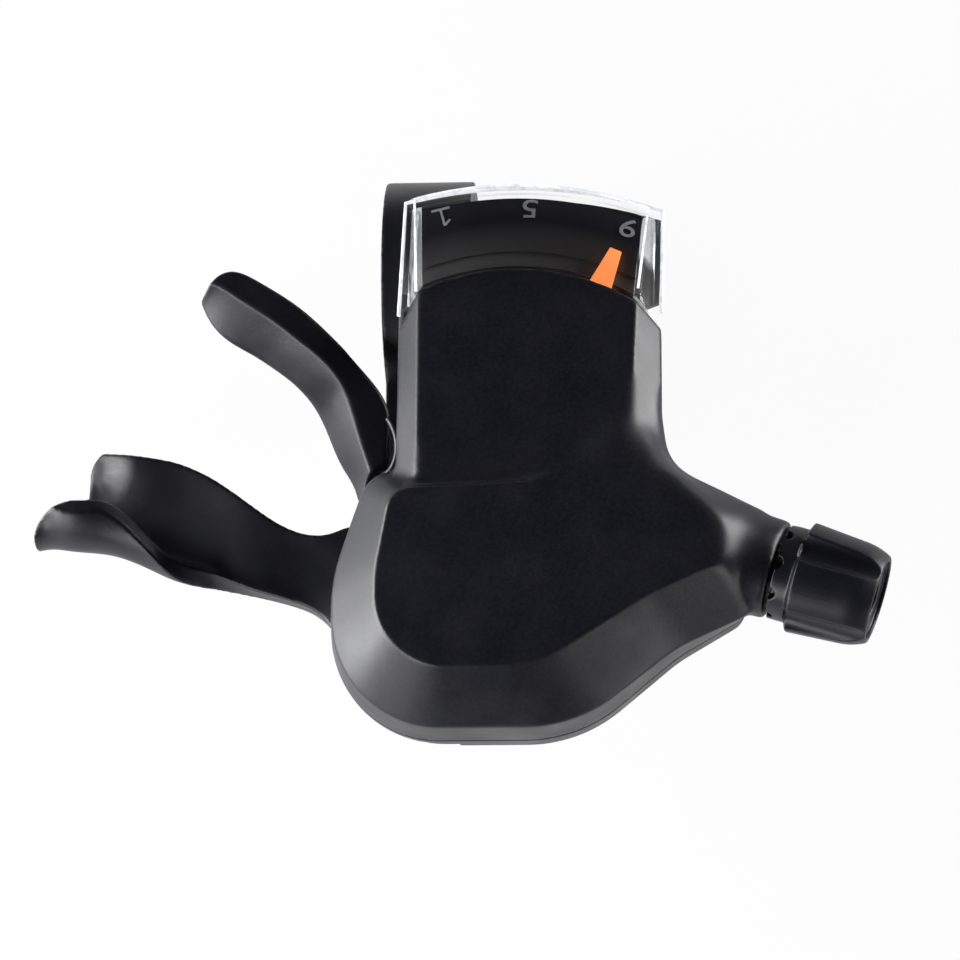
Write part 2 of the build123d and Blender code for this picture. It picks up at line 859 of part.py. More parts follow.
# Thumb paddle: a flat stem that opens into a two-lobed scoop
# Each station holds X, the wall thickness and five points of the wall's middle line in Y and Z
paddle_stations = [
    (-8.0, 4.6, [(-31.8, 7.0), (-35.6, 7.0), (-39.4, 7.0), (-43.2, 7.0), (-47.0, 7.0)]),
    (-12.0, 4.6, [(-32.6, 7.0), (-35.6, 7.0), (-38.5, 7.0), (-41.4, 7.0), (-44.4, 7.0)]),
    (-16.5, 4.2, [(-32.3, 6.8), (-34.5, 6.9), (-36.8, 7.0), (-39.1, 7.0), (-41.3, 7.1)]),
    (-22.0, 3.4, [(-29.0, 6.0), (-31.9, 6.5), (-34.8, 6.9), (-37.6, 7.2), (-39.8, 7.6)]),
    (-27.0, 2.8, [(-25.2, 5.0), (-29.2, 5.4), (-33.2, 6.0), (-36.6, 6.9), (-38.4, 8.6)]),
    (-31.5, 2.5, [(-22.9, 4.2), (-28.0, 4.6), (-33.0, 5.4), (-36.4, 7.3), (-36.9, 11.0)]),
    (-36.0, 2.3, [(-21.8, 3.6), (-27.5, 4.1), (-32.4, 5.2), (-35.0, 8.2), (-32.4, 13.0)]),
    (-40.0, 2.2, [(-21.1, 2.6), (-27.0, 3.4), (-31.8, 4.9), (-33.9, 8.4), (-29.7, 14.2)]),
    (-44.5, 2.2, [(-21.2, 0.8), (-27.0, 2.2), (-31.3, 4.4), (-33.4, 8.6), (-29.7, 14.6)]),
    (-49.5, 2.2, [(-21.8, -2.0), (-27.0, 0.0), (-31.4, 3.8), (-33.9, 8.8), (-31.6, 14.2)]),
]


def wall_section(x, thickness, middle):
    """A closed strip of even thickness about a middle line, square to X."""
    near = []
    far = []
    for i in range(len(middle)):
        before = middle[max(i - 1, 0)]
        after = middle[min(i + 1, len(middle) - 1)]
        length = math.dist(before, after)
        across_y = -(after[1] - before[1]) / length * thickness / 2
        across_z = (after[0] - before[0]) / length * thickness / 2
        near.append((middle[i][0] + across_y, middle[i][1] + across_z))
        far.append((middle[i][0] - across_y, middle[i][1] - across_z))
    with BuildSketch(Plane.YZ.offset(x)) as strip:
        with BuildLine():
            Spline(*near)
            Line(near[-1], far[-1])
            Spline(*far[::-1])
            Line(far[0], near[0])
        make_face()
    return strip.sketch


with BuildPart() as main_lever_paddle:
    loft(sections=[wall_section(*station) for station in paddle_stations])
    # Far lobe ends square with a round corner
    with BuildSketch(level(-12)):
        with BuildLine():
            Polyline((-60, -10), (-40.0, -10), (-40.0, -20.0))
            ThreePointArc((-40.0, -20.0), (-42.6, -21.4), (-43.4, -24.0))
            Polyline((-43.4, -24.0), (-43.4, -28.0), (-48.2, -32.0), (-48.2, -44.0), (-60, -44), (-60, -10))
        make_face()
    extrude(amount=19.6, mode=Mode.SUBTRACT)
    # Near lobe reaches further and ends round
    with BuildSketch(level(7.6)):
        with BuildLine():
            Polyline((-60, -10), (-41.0, -10), (-41.0, -28.4))
            Spline((-41.0, -28.4), (-45.0, -29.3), (-47.6, -31.2), (-48.7, -33.4), (-48.4, -36.0))
            Polyline((-48.4, -36.0), (-48.4, -44.0), (-60, -44), (-60, -10))
        make_face()
    extrude(amount=14, mode=Mode.SUBTRACT)
    add(main_lever_plate.part, mode=Mode.SUBTRACT)

# Trigger: steel plate on the post, and the finger piece moulded over it
peg_spot = (post_x + 3.02, post_y - 2.12)
with BuildPart() as trigger_plate:
    with BuildSketch(level(trigger_low)):
        with Locations(post):
            Circle(3.6)
        with Locations((post_x - 2.2, post_y + 5.4)):
            Rectangle(12.0, 4.0, rotation=112)
        with Locations(peg_spot):
            Circle(1.5)
        with Locations(post):
            Circle(post_r + running, mode=Mode.SUBTRACT)
    extrude(amount=trigger_t)
    with BuildSketch(level(trigger_low)):
        with Locations(peg_spot):
            Circle(0.9)
    extrude(amount=pawl_low + pawl_t - trigger_low)

# Each station: inner edge, outer edge, width of the top face, top height and depth
trigger_stations = [
    ((-4.6, -28.4), (-8.9, -28.5), 2.4, 11.9, 4.4),
    ((-4.4, -25.3), (-10.6, -24.8), 2.6, 12.1, 5.2),
    ((-4.4, -21.0), (-12.2, -21.6), 3.8, 12.5, 5.6),
    ((-4.7, -17.2), (-13.6, -18.3), 4.5, 13.1, 5.8),
    ((-7.0, -13.8), (-15.2, -15.9), 3.6, 14.1, 5.8),
    ((-9.8, -10.6), (-17.3, -13.9), 3.2, 15.2, 5.8),
    ((-12.8, -7.6), (-20.5, -11.6), 3.6, 16.3, 5.8),
    ((-16.5, -4.6), (-23.4, -10.0), 3.6, 17.2, 5.6),
    ((-20.1, -2.4), (-26.0, -8.2), 3.4, 17.8, 5.4),
    ((-23.4, -1.0), (-27.7, -5.6), 2.8, 18.0, 4.8),
    ((-25.4, -1.6), (-28.1, -4.5), 1.7, 17.9, 3.8),
]


def trigger_section(inner, outer, top_width, top_z, depth):
    """Upright section of the finger piece: flat top, sloping pad and a back."""
    width = math.dist(inner, outer)
    across = ((outer[0] - inner[0]) / width, (outer[1] - inner[1]) / width, 0)
    upright = Plane(origin=(inner[0], inner[1], top_z), x_dir=across, z_dir=(across[1], -across[0], 0))
    corners = [
        (0, 0),
        (0.5, -depth * 0.75),
        (width - 1.4, -depth),
        (width, -depth * 0.86),
        (top_width, 0.15),
    ]
    with BuildSketch(upright) as section:
        with BuildLine():
            Polyline(*corners, close=True)
        make_face()
        fillet(section.vertices(), 0.55)
    return section.sketch


with BuildPart() as trigger_paddle:
    loft(sections=[trigger_section(*station) for station in trigger_stations])
    with BuildSketch(level(trigger_low + trigger_t + 0.2)):
        with Locations(post):
            Circle(4.2)
    extrude(amount=12, mode=Mode.SUBTRACT)
    with BuildSketch(level(0)):
        with Locations(post):
            Circle(post_r + 0.3)
    extrude(amount=20, mode=Mode.SUBTRACT)
    add(trigger_plate.part, mode=Mode.SUBTRACT)

with BuildPart() as trigger_pivot_pin:
    with BuildSketch(level(plate_low)):
        with Locations(post):
            Circle(post_r)
    extrude(amount=12.3 - plate_low)
    chamfer(trigger_pivot_pin.edges().group_by(Axis.Z)[-1], 0.3)

with BuildPart() as trigger_pin_clip:
    with BuildSketch(level(pawl_low + pawl_t + 0.1)):
        with Locations(post):
            Circle(3.2)
            Circle(post_r + press, mode=Mode.SUBTRACT)
    extrude(amount=0.4)

stop_nose = polar(axle, 13.6, 168)
with BuildPart() as stop_pawl:
    with BuildSketch(level(pawl_low)):
        with Locations(post):
            Circle(3.2)
        with BuildLine():
            Polyline(
                (post_x - 1.7, post_y - 0.4),
                (stop_nose[0] - 1.2, stop_nose[1] + 0.4),
                stop_nose,
                (stop_nose[0] + 0.3, stop_nose[1] + 1.9),
                (post_x + 1.7, post_y - 0.4),
                close=True,
            )
        make_face()
        with Locations(post):
            Circle(post_r + running, mode=Mode.SUBTRACT)
    extrude(amount=pawl_t)
    with BuildSketch(level(pawl_low)):
        with Locations(peg_spot):
            Circle(0.9 + 0.05)
    extrude(amount=pawl_t, mode=Mode.SUBTRACT)

# Springs
spiral_r = 5.0
spiral_step = 0.45
with BuildPart() as lever_return_spring:
    with BuildSketch(level(plate_top + 0.3)):
        with BuildLine():
            for half in range(6):
                start_r = (spiral_r + spiral_step * half) * (-1) ** half
                end_r = -(spiral_r + spiral_step * (half + 1)) * (-1) ** half
                middle_x = axle_x + (start_r + end_r) / 2
                arc_r = abs(start_r - end_r) / 2
                side = 1 if half % 2 == 0 else -1
                ThreePointArc(
                    (axle_x + start_r, axle_y),
                    (middle_x, axle_y + side * arc_r),
                    (axle_x + end_r, axle_y),
                )
        trace(line_width=0.5)
    extrude(amount=spring_h)

coil_r = 2.95
with BuildPart() as trigger_return_spring:
    with BuildLine() as coil_path:
        Helix(pitch=1.0, height=3.6, radius=coil_r, center=(post_x, post_y, plate_top + 0.6))
    with BuildSketch(Plane(origin=coil_path.line @ 0, z_dir=coil_path.line % 0)):
        Rectangle(0.6, 0.6)
    sweep(is_frenet=True)

# Barrel adjuster
with BuildPart() as adjuster_seat:
    with BuildSketch(boss_plane.offset(-8.9)):
        Circle(seat_r)
        Circle(thread_r + running, mode=Mode.SUBTRACT)
    extrude(amount=8.5)

with BuildPart() as adjuster_screw:
    with BuildSketch(boss_plane.offset(-8.0)):
        Circle(thread_r)
    extrude(amount=8.0 + collar_end + 0.2)
    with BuildSketch(boss_plane.offset(collar_end + 0.2)):
        Circle(4.4)
    extrude(amount=1.8)
    with BuildSketch(boss_plane.offset(-8.0)):
        Circle(cable_hole_r)
    extrude(amount=20, mode=Mode.SUBTRACT)

with BuildPart() as adjuster_ferrule:
    with BuildSketch(boss_plane.offset(collar_end + 2.1)):
        Circle(ferrule_r)
    extrude(amount=knob_end - knob_lip - 0.1 - collar_end - 2.1)
    with BuildSketch(boss_plane.offset(knob_end - socket_depth)):
        Circle(socket_r)
    extrude(amount=socket_depth, mode=Mode.SUBTRACT)
    with BuildSketch(boss_plane):
        Circle(cable_hole_r)
    extrude(amount=20, mode=Mode.SUBTRACT)

# Hand knob: scalloped collar, then four pads with round valleys between them
valleys = 4
valley_turn = -23.6
valley_r = 2.4
valley_floor_r = knob_end_r
scallops = 9
scallop_r = 0.8
knob_profile = Plane(origin=boss_plane.origin, x_dir=boss_plane.z_dir, z_dir=boss_plane.y_dir)
with BuildPart() as adjuster_knob:
    with BuildSketch(knob_profile):
        with BuildLine():
            Line((knob_start, 0), (knob_start, -collar_r))
            Line((knob_start, -collar_r), (collar_end, -collar_r))
            Line((collar_end, -collar_r), (collar_end + knob_step, -knob_r))
            pad = Line((collar_end + knob_step, -knob_r), (knob_end - knob_round, -knob_r + 0.5))
            shoulder = TangentArc(pad @ 1, (knob_end, -knob_end_r), tangent=pad % 1)
            Line(shoulder @ 1, (knob_end, 0))
            Line((knob_end, 0), (knob_start, 0))
        make_face()
    revolve(axis=Axis(boss_plane.origin, boss_plane.z_dir))
    with BuildSketch(boss_plane.offset(collar_end)):
        with PolarLocations(valley_floor_r + valley_r, valleys, start_angle=valley_turn):
            Circle(valley_r)
    extrude(amount=knob_end, mode=Mode.SUBTRACT)
    collar_face = boss_plane.offset(knob_start)
    for i in range(scallops):
        spread = math.radians(360 / scallops * i)
        outward = collar_face.x_dir * math.cos(spread) + collar_face.y_dir * math.sin(spread)
        scallop_start = collar_face.origin + outward * (collar_r - 1.3)
        with BuildSketch(Plane(origin=scallop_start, x_dir=collar_face.z_dir, z_dir=outward)):
            Circle(scallop_r)
        extrude(amount=2.0, mode=Mode.SUBTRACT)
    with BuildSketch(boss_plane):
        Circle(thread_r + press)
    extrude(amount=collar_end + 2.0, mode=Mode.SUBTRACT)
    with BuildSketch(boss_plane.offset(collar_end + 0.2)):
        Circle(4.4 + press)
    extrude(amount=1.85, mode=Mode.SUBTRACT)
    with BuildSketch(boss_plane.offset(collar_end + 2.0)):
        Circle(ferrule_r + 0.1)
    extrude(amount=knob_end - knob_lip - collar_end - 2.0, mode=Mode.SUBTRACT)
    with BuildSketch(boss_plane.offset(knob_end - knob_lip)):
        Circle(socket_r)
    extrude(amount=knob_lip, mode=Mode.SUBTRACT)
    with BuildSketch(boss_plane.offset(knob_end)):
        Circle(knob_end_r - dish_rim)
    extrude(amount=-dish_depth, mode=Mode.SUBTRACT)

top_cover.part.label = "top_cover"
export_step(top_cover.part, "parts/top_cover.step")
bottom_cover.part.label = "bottom_cover"
export_step(bottom_cover.part, "parts/bottom_cover.step")
display_lens.part.label = "display_lens"
export_step(display_lens.part, "parts/display_lens.step")
dial_plate.part.label = "dial_plate"
export_step(dial_plate.part, "parts/dial_plate.step")
indicator_base.part.label = "indicator_base"
export_step(indicator_base.part, "parts/indicator_base.step")
bracket.part.label = "bracket"
export_step(bracket.part, "parts/bracket.step")
clamp_bolt.part.label = "clamp_bolt"
export_step(clamp_bolt.part, "parts/clamp_bolt.step")
clamp_nut.part.label = "clamp_nut"
export_step(clamp_nut.part, "parts/clamp_nut.step")
main_axle.part.label = "main_axle"
export_step(main_axle.part, "parts/main_axle.step")
axle_washer.part.label = "axle_washer"
export_step(axle_washer.part, "parts/axle_washer.step")
axle_nut.part.label = "axle_nut"
export_step(axle_nut.part, "parts/axle_nut.step")
cover_screw_a.part.label = "cover_screw_a"
export_step(cover_screw_a.part, "parts/cover_screw_a.step")
cover_screw_b.part.label = "cover_screw_b"
export_step(cover_screw_b.part, "parts/cover_screw_b.step")
cover_screw_c.part.label = "cover_screw_c"
export_step(cover_screw_c.part, "parts/cover_screw_c.step")
indicator_needle.part.label = "indicator_needle"
export_step(indicator_needle.part, "parts/indicator_needle.step")
needle_pivot_pin.part.label = "needle_pivot_pin"
export_step(needle_pivot_pin.part, "parts/needle_pivot_pin.step")
cable_spool.part.label = "cable_spool"
export_step(cable_spool.part, "parts/cable_spool.step")
ratchet_wheel.part.label = "ratchet_wheel"
export_step(ratchet_wheel.part, "parts/ratchet_wheel.step")
main_lever_plate.part.label = "main_lever_plate"
export_step(main_lever_plate.part, "parts/main_lever_plate.step")
main_lever_paddle.part.label = "main_lever_paddle"
export_step(main_lever_paddle.part, "parts/main_lever_paddle.step")
feed_pawl_pin.part.label = "feed_pawl_pin"
export_step(feed_pawl_pin.part, "parts/feed_pawl_pin.step")
feed_pawl.part.label = "feed_pawl"
export_step(feed_pawl.part, "parts/feed_pawl.step")
trigger_plate.part.label = "trigger_plate"
export_step(trigger_plate.part, "parts/trigger_plate.step")
trigger_paddle.part.label = "trigger_paddle"
export_step(trigger_paddle.part, "parts/trigger_paddle.step")
trigger_pivot_pin.part.label = "trigger_pivot_pin"
export_step(trigger_pivot_pin.part, "parts/trigger_pivot_pin.step")
trigger_pin_clip.part.label = "trigger_pin_clip"
export_step(trigger_pin_clip.part, "parts/trigger_pin_clip.step")
stop_pawl.part.label = "stop_pawl"
export_step(stop_pawl.part, "parts/stop_pawl.step")
lever_return_spring.part.label = "lever_return_spring"
export_step(lever_return_spring.part, "parts/lever_return_spring.step")
trigger_return_spring.part.label = "trigger_return_spring"
export_step(trigger_return_spring.part, "parts/trigger_return_spring.step")
adjuster_seat.part.label = "adjuster_seat"
export_step(adjuster_seat.part, "parts/adjuster_seat.step")
adjuster_screw.part.label = "adjuster_screw"
export_step(adjuster_screw.part, "parts/adjuster_screw.step")
adjuster_ferrule.part.label = "adjuster_ferrule"
export_step(adjuster_ferrule.part, "parts/adjuster_ferrule.step")
adjuster_knob.part.label = "adjuster_knob"
export_step(adjuster_knob.part, "parts/adjuster_knob.step")
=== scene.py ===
import json
import math

import bpy
from mathutils import Matrix, Vector

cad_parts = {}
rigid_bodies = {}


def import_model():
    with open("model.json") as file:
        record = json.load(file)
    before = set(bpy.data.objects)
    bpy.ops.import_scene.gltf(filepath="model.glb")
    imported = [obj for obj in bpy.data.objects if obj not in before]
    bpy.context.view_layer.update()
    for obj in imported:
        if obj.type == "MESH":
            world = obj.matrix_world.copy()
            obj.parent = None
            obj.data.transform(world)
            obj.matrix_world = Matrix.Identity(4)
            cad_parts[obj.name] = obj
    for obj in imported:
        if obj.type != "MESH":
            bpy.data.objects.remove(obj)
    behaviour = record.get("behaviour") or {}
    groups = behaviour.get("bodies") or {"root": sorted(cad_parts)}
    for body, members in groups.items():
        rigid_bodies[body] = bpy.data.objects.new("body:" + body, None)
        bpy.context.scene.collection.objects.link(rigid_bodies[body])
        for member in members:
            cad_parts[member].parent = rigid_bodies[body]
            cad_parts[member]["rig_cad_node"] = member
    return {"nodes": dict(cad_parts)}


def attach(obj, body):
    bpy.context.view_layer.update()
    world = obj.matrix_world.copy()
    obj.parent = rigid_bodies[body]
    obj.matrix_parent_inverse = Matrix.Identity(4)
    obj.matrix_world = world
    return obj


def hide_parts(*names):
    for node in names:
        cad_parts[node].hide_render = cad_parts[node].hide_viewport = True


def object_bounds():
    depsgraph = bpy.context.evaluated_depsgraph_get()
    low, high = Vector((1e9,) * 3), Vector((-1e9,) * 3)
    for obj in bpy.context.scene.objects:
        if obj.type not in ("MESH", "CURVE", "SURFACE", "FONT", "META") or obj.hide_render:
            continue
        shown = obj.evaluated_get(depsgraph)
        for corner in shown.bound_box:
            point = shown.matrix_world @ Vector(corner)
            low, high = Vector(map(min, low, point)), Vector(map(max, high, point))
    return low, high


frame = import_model()
cad_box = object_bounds()

MM = 0.001

# Window face: the dial lies square to the neck, which leans back over the handlebar
NECK_LEAN = math.radians(12.0)
NECK_AWAY = Vector((0.0, math.cos(NECK_LEAN), -math.sin(NECK_LEAN)))
NECK_UPWARD = Vector((0.0, math.sin(NECK_LEAN), math.cos(NECK_LEAN)))
PIVOT = Vector((11.3, -27.5, 24.5)) * MM
DIAL_TOP = -1.6 * MM
NUMBER_RADIUS = 35.65 * MM
NUMBER_HEIGHT = 2.45 * MM
NUMBER_BREADTH = 1.35
NUMBER_THICKNESS = 0.05 * MM
TYPEFACE_HEIGHT = 0.69
STROKE = 0.28 * MM
EDGE_BEVEL = 0.2 * MM
TUCKED_END = 25.0 * MM
ARCH_STEPS = 24

# Camera of the photograph
CAMERA_LEAN = math.radians(11.0)
CAMERA_TURN = math.radians(3.5)
CAMERA_PLACE = Vector((35.675, -118.767, 484.999)) * MM
CAMERA_LENS = 146.625
CAMERA_SENSOR = 36.0

# Studio
FLOOR_GAP = 0.5 * MM
FLOOR_RADIUS = 4.0
FLOOR_GLOW = 0.94
WORLD_GLOW = 0.02
LAMP_AIM = (0.005, -0.025, 0.01)

# Soft transitions: each spot is a place in mm and the reach of the smoothing round it
NECK_ROOT = [((22.0, -25.0, 25.0), 9.0), ((28.0, -25.0, 23.0), 6.0), ((27.5, -21.0, 22.0), 6.0)]
NECK_LEFT_ROOT = [((-1.8, -27.6, 21.5), 4.5), ((-5.0, -31.0, 21.5), 4.0)]
RIGHT_FLANK = [((33.5, -31.0, 24.7), 7.0), ((37.5, -33.8, 24.0), 7.0)]
BOSS_ROOT = [((39.0, -37.5, 23.0), 7.0), ((41.0, -43.0, 18.5), 4.5), ((42.0, -33.5, 19.5), 4.5)]
LOBE_TIP = [((-48.1, -32.0, 3.6), 4.5)]

# Edges pulled up or down: a place in mm, the rise, and how far the surface follows
FINGER_REST = [((-12.0, -16.0, 12.5), 1.2, 9.0), ((-17.0, -12.7, 13.0), 0.5, 6.0)]
LOBE_END = [((-43.2, -23.0, 3.0), -1.0, 5.0)]
GRAB_RADIUS = 1.5 * MM

# Rib beside the neck's root, as places in mm
TRIGGER_EAR = [
    (-4.2, -19.8, 17.0), (-2.9, -21.5, 17.4), (-2.6, -23.9, 17.6), (-3.0, -26.2, 17.4), (-4.8, -26.9, 16.4),
]

# Corners of CAD triangles that lie closer than this are one
MERGE_GAP = 0.002 * MM


def new_material(name, colour, roughness, metallic=0.0, ior=1.5):
    """A material with one principled shader, its constants set on the shader's own sockets."""
    material = bpy.data.materials.new(name)
    material.use_nodes = True
    shader = material.node_tree.nodes["Principled BSDF"]
    shader.inputs["Base Color"].default_value = (*colour, 1.0)
    shader.inputs["Roughness"].default_value = roughness
    shader.inputs["Metallic"].default_value = metallic
    shader.inputs["IOR"].default_value = ior
    return material, material.node_tree, shader


def add_node(tree, kind, **values):
    """A node with its input sockets or properties set by name."""
    node = tree.nodes.new(kind)
    for key, value in values.items():
        if key in node.inputs:
            node.inputs[key].default_value = value
        else:
            setattr(node, key, value)
    return node


def noise(tree, scale, detail=2.0):
    """Noise on object coordinates, so that it stays on the piece."""
    place = add_node(tree, "ShaderNodeTexCoord")
    texture = add_node(tree, "ShaderNodeTexNoise", Scale=scale, Detail=detail)
    tree.links.new(place.outputs["Object"], texture.inputs["Vector"])
    return texture


def vary(tree, factor, low, high, socket):
    """Sends a factor between two levels to a shader socket."""
    level = add_node(tree, "ShaderNodeMapRange")
    level.inputs["From Min"].default_value = 0.3
    level.inputs["From Max"].default_value = 0.7
    level.inputs["To Min"].default_value = low
    level.inputs["To Max"].default_value = high
    tree.links.new(factor, level.inputs["Value"])
    tree.links.new(level.outputs["Result"], socket)


def tint(tree, factor, dark, light, socket):
    """Sends a colour between two tones to a shader socket."""
    ramp = add_node(tree, "ShaderNodeValToRGB")
    ramp.color_ramp.elements[0].position = 0.35
    ramp.color_ramp.elements[1].position = 0.65
    ramp.color_ramp.elements[0].color = (*dark, 1.0)
    ramp.color_ramp.elements[1].color = (*light, 1.0)
    tree.links.new(factor, ramp.inputs["Fac"])
    tree.links.new(ramp.outputs["Color"], socket)


def grain(tree, shader, scale, strength, distance):
    """Fine raised grain on a shader's normal."""
    texture = noise(tree, scale, 3.0)
    bump = add_node(tree, "ShaderNodeBump", Strength=strength, Distance=distance)
    tree.links.new(texture.outputs["Fac"], bump.inputs["Height"])
    tree.links.new(bump.outputs["Normal"], shader.inputs["Normal"])


def moulded_plastic(name, dark, light, smooth, rough, grain_scale, grain_strength):
    """Black moulded plastic: spark-eroded grain, patches of sheen and slight shifts of tone."""
    material, tree, shader = new_material(name, dark, smooth)
    patches = noise(tree, 160.0)
    fine = noise(tree, grain_scale * 0.7)
    tint(tree, fine.outputs["Fac"], dark, light, shader.inputs["Base Color"])
    vary(tree, patches.outputs["Fac"], smooth, rough, shader.inputs["Roughness"])
    grain(tree, shader, grain_scale, grain_strength, 0.02 * MM)
    return material


def machined_steel(name, colour, roughness):
    """Stamped or turned steel with fine drawn lines along one axis."""
    material, tree, shader = new_material(name, colour, roughness, metallic=1.0)
    place = add_node(tree, "ShaderNodeTexCoord")
    stretch = add_node(tree, "ShaderNodeMapping")
    stretch.inputs["Scale"].default_value = (1.0, 0.06, 1.0)
    lines = add_node(tree, "ShaderNodeTexNoise", Scale=5200.0, Detail=2.0)
    tree.links.new(place.outputs["Object"], stretch.inputs["Vector"])
    tree.links.new(stretch.outputs["Vector"], lines.inputs["Vector"])
    vary(tree, lines.outputs["Fac"], roughness * 0.75, roughness * 1.3, shader.inputs["Roughness"])
    bump = add_node(tree, "ShaderNodeBump", Strength=0.12, Distance=0.01 * MM)
    tree.links.new(lines.outputs["Fac"], bump.inputs["Height"])
    tree.links.new(bump.outputs["Normal"], shader.inputs["Normal"])
    return material


def dial_plastic(name):
    """Dark dial: black number track, and a painted highlight on the slope, its colour turning greyer towards
    the pivot where the slope catches light.
    """
    material, tree, shader = new_material(name, (0.006, 0.006, 0.010), 0.45)
    place = add_node(tree, "ShaderNodeTexCoord")
    reach = add_node(tree, "ShaderNodeVectorMath", operation="DISTANCE")
    reach.inputs[1].default_value = PIVOT
    tree.links.new(place.outputs["Object"], reach.inputs[0])
    slope = add_node(tree, "ShaderNodeMapRange")
    slope.inputs["From Min"].default_value = 34.0 * MM
    slope.inputs["From Max"].default_value = 29.5 * MM
    tree.links.new(reach.outputs["Value"], slope.inputs["Value"])
    # Painted highlight: the base colour goes from black on the number track to grey down the slope towards
    # the pivot.
    ramp = add_node(tree, "ShaderNodeValToRGB")
    ramp.color_ramp.elements[0].color = (0.0055, 0.0055, 0.012, 1.0)
    ramp.color_ramp.elements[1].color = (0.072, 0.068, 0.070, 1.0)
    tree.links.new(slope.outputs["Result"], ramp.inputs["Fac"])
    tree.links.new(ramp.outputs["Color"], shader.inputs["Base Color"])
    grain(tree, shader, 7000.0, 0.2, 0.02 * MM)
    return material


def clear_window(name):
    """Thin clear polycarbonate: see-through face on, with gloss that grows with the slant."""
    material, tree, shader = new_material(name, (0.97, 0.975, 0.98), 0.06, metallic=1.0)
    haze = noise(tree, 420.0)
    vary(tree, haze.outputs["Fac"], 0.03, 0.09, shader.inputs["Roughness"])
    slant = add_node(tree, "ShaderNodeFresnel", IOR=1.2)
    vary(tree, slant.outputs["Fac"], 0.03, 0.6, shader.inputs["Alpha"])
    return material


def window_edge_painted_highlight(name):
    """Painted highlight for the edges of clear plastic: a pale, glowing colour in place of the light the
    edges catch.
    """
    material, tree, shader = new_material(name, (0.90, 0.92, 0.94), 0.2)
    # Painted highlight: the edges glow though they are no lamp.
    shader.inputs["Emission Color"].default_value = (0.95, 0.97, 1.0, 1.0)
    shader.inputs["Emission Strength"].default_value = 0.5
    # Lighter and darker streaks within the painted highlight.
    highlight_streaks = noise(tree, 700.0)
    tint(tree, highlight_streaks.outputs["Fac"], (0.45, 0.47, 0.50), (0.95, 0.96, 0.98), shader.inputs["Base Color"])
    vary(tree, highlight_streaks.outputs["Fac"], 0.7, 1.0, shader.inputs["Alpha"])
    return material


def needle_orange(name):
    """Bright orange moulded plastic, with a painted glow: it gives off light of its own so that it shows
    brighter than its lighting makes it.
    """
    material, tree, shader = new_material(name, (1.0, 0.27, 0.08), 0.35)
    fine = noise(tree, 900.0)
    tint(tree, fine.outputs["Fac"], (0.95, 0.24, 0.07), (1.0, 0.30, 0.09), shader.inputs["Base Color"])
    # Painted glow: the needle emits orange light though it is no lamp.
    shader.inputs["Emission Color"].default_value = (1.0, 0.30, 0.09, 1.0)
    shader.inputs["Emission Strength"].default_value = 0.8
    grain(tree, shader, 5000.0, 0.08, 0.01 * MM)
    return material


def number_print(name):
    """Pale grey printing ink."""
    material, tree, shader = new_material(name, (0.36, 0.36, 0.38), 0.5)
    fine = noise(tree, 2500.0)
    tint(tree, fine.outputs["Fac"], (0.32, 0.32, 0.34), (0.41, 0.41, 0.43), shader.inputs["Base Color"])
    return material


def paint(material, *nodes):
    """Gives CAD nodes a material in place of their plain one."""
    for name in nodes:
        mesh = frame["nodes"][name].data
        mesh.materials.clear()
        mesh.materials.append(material)


def paint_nodes():
    """Finishes of every CAD node."""
    black = (0.0042, 0.0044, 0.0092)
    charcoal = (0.0086, 0.0090, 0.0165)
    jet = (0.0024, 0.0025, 0.0048)
    cover = moulded_plastic("cover_plastic", black, charcoal, 0.36, 0.46, 3200.0, 0.5)
    paint(cover, "top_cover", "bottom_cover")
    lever = moulded_plastic("lever_plastic", jet, black, 0.38, 0.48, 3000.0, 0.6)
    paint(lever, "main_lever_paddle", "trigger_paddle")
    knob = moulded_plastic("knob_plastic", black, charcoal, 0.34, 0.44, 7000.0, 0.25)
    paint(knob, "adjuster_knob", "adjuster_ferrule")
    paint(dial_plastic("dial_plastic"), "dial_plate", "indicator_base")
    metal = moulded_plastic("bracket_paint", (0.010, 0.010, 0.012), charcoal, 0.30, 0.40, 2600.0, 0.18)
    paint(metal, "bracket")
    spool = moulded_plastic("spool_plastic", (0.5, 0.5, 0.48), (0.6, 0.6, 0.58), 0.4, 0.5, 5000.0, 0.1)
    paint(spool, "cable_spool")
    paint(machined_steel("dark_steel", (0.26, 0.26, 0.27), 0.36), "clamp_bolt", "clamp_nut",
          "cover_screw_a", "cover_screw_b", "cover_screw_c", "lever_return_spring", "trigger_return_spring")
    paint(machined_steel("bright_steel", (0.56, 0.56, 0.57), 0.30), "main_axle", "axle_washer", "axle_nut",
          "needle_pivot_pin", "feed_pawl_pin", "trigger_pivot_pin", "trigger_pin_clip", "ratchet_wheel",
          "main_lever_plate", "feed_pawl", "trigger_plate", "stop_pawl")
    # Brass darkened to near black: painted shade for the gap between the knob and the cover, where the seat
    # sits.
    paint(machined_steel("insert_brass", (0.10, 0.075, 0.045), 0.45), "adjuster_seat")
    paint(machined_steel("adjuster_alloy", (0.55, 0.55, 0.57), 0.33), "adjuster_screw")
    paint(clear_window("window_clear"), "display_lens")
    paint(needle_orange("needle_orange"), "indicator_needle")


def settle(piece):
    """Puts a piece's place into its mesh and leaves its object at the origin."""
    bpy.ops.object.select_all(action="DESELECT")
    piece.select_set(True)
    bpy.context.view_layer.objects.active = piece
    bpy.ops.object.transform_apply(location=True, rotation=True, scale=True)


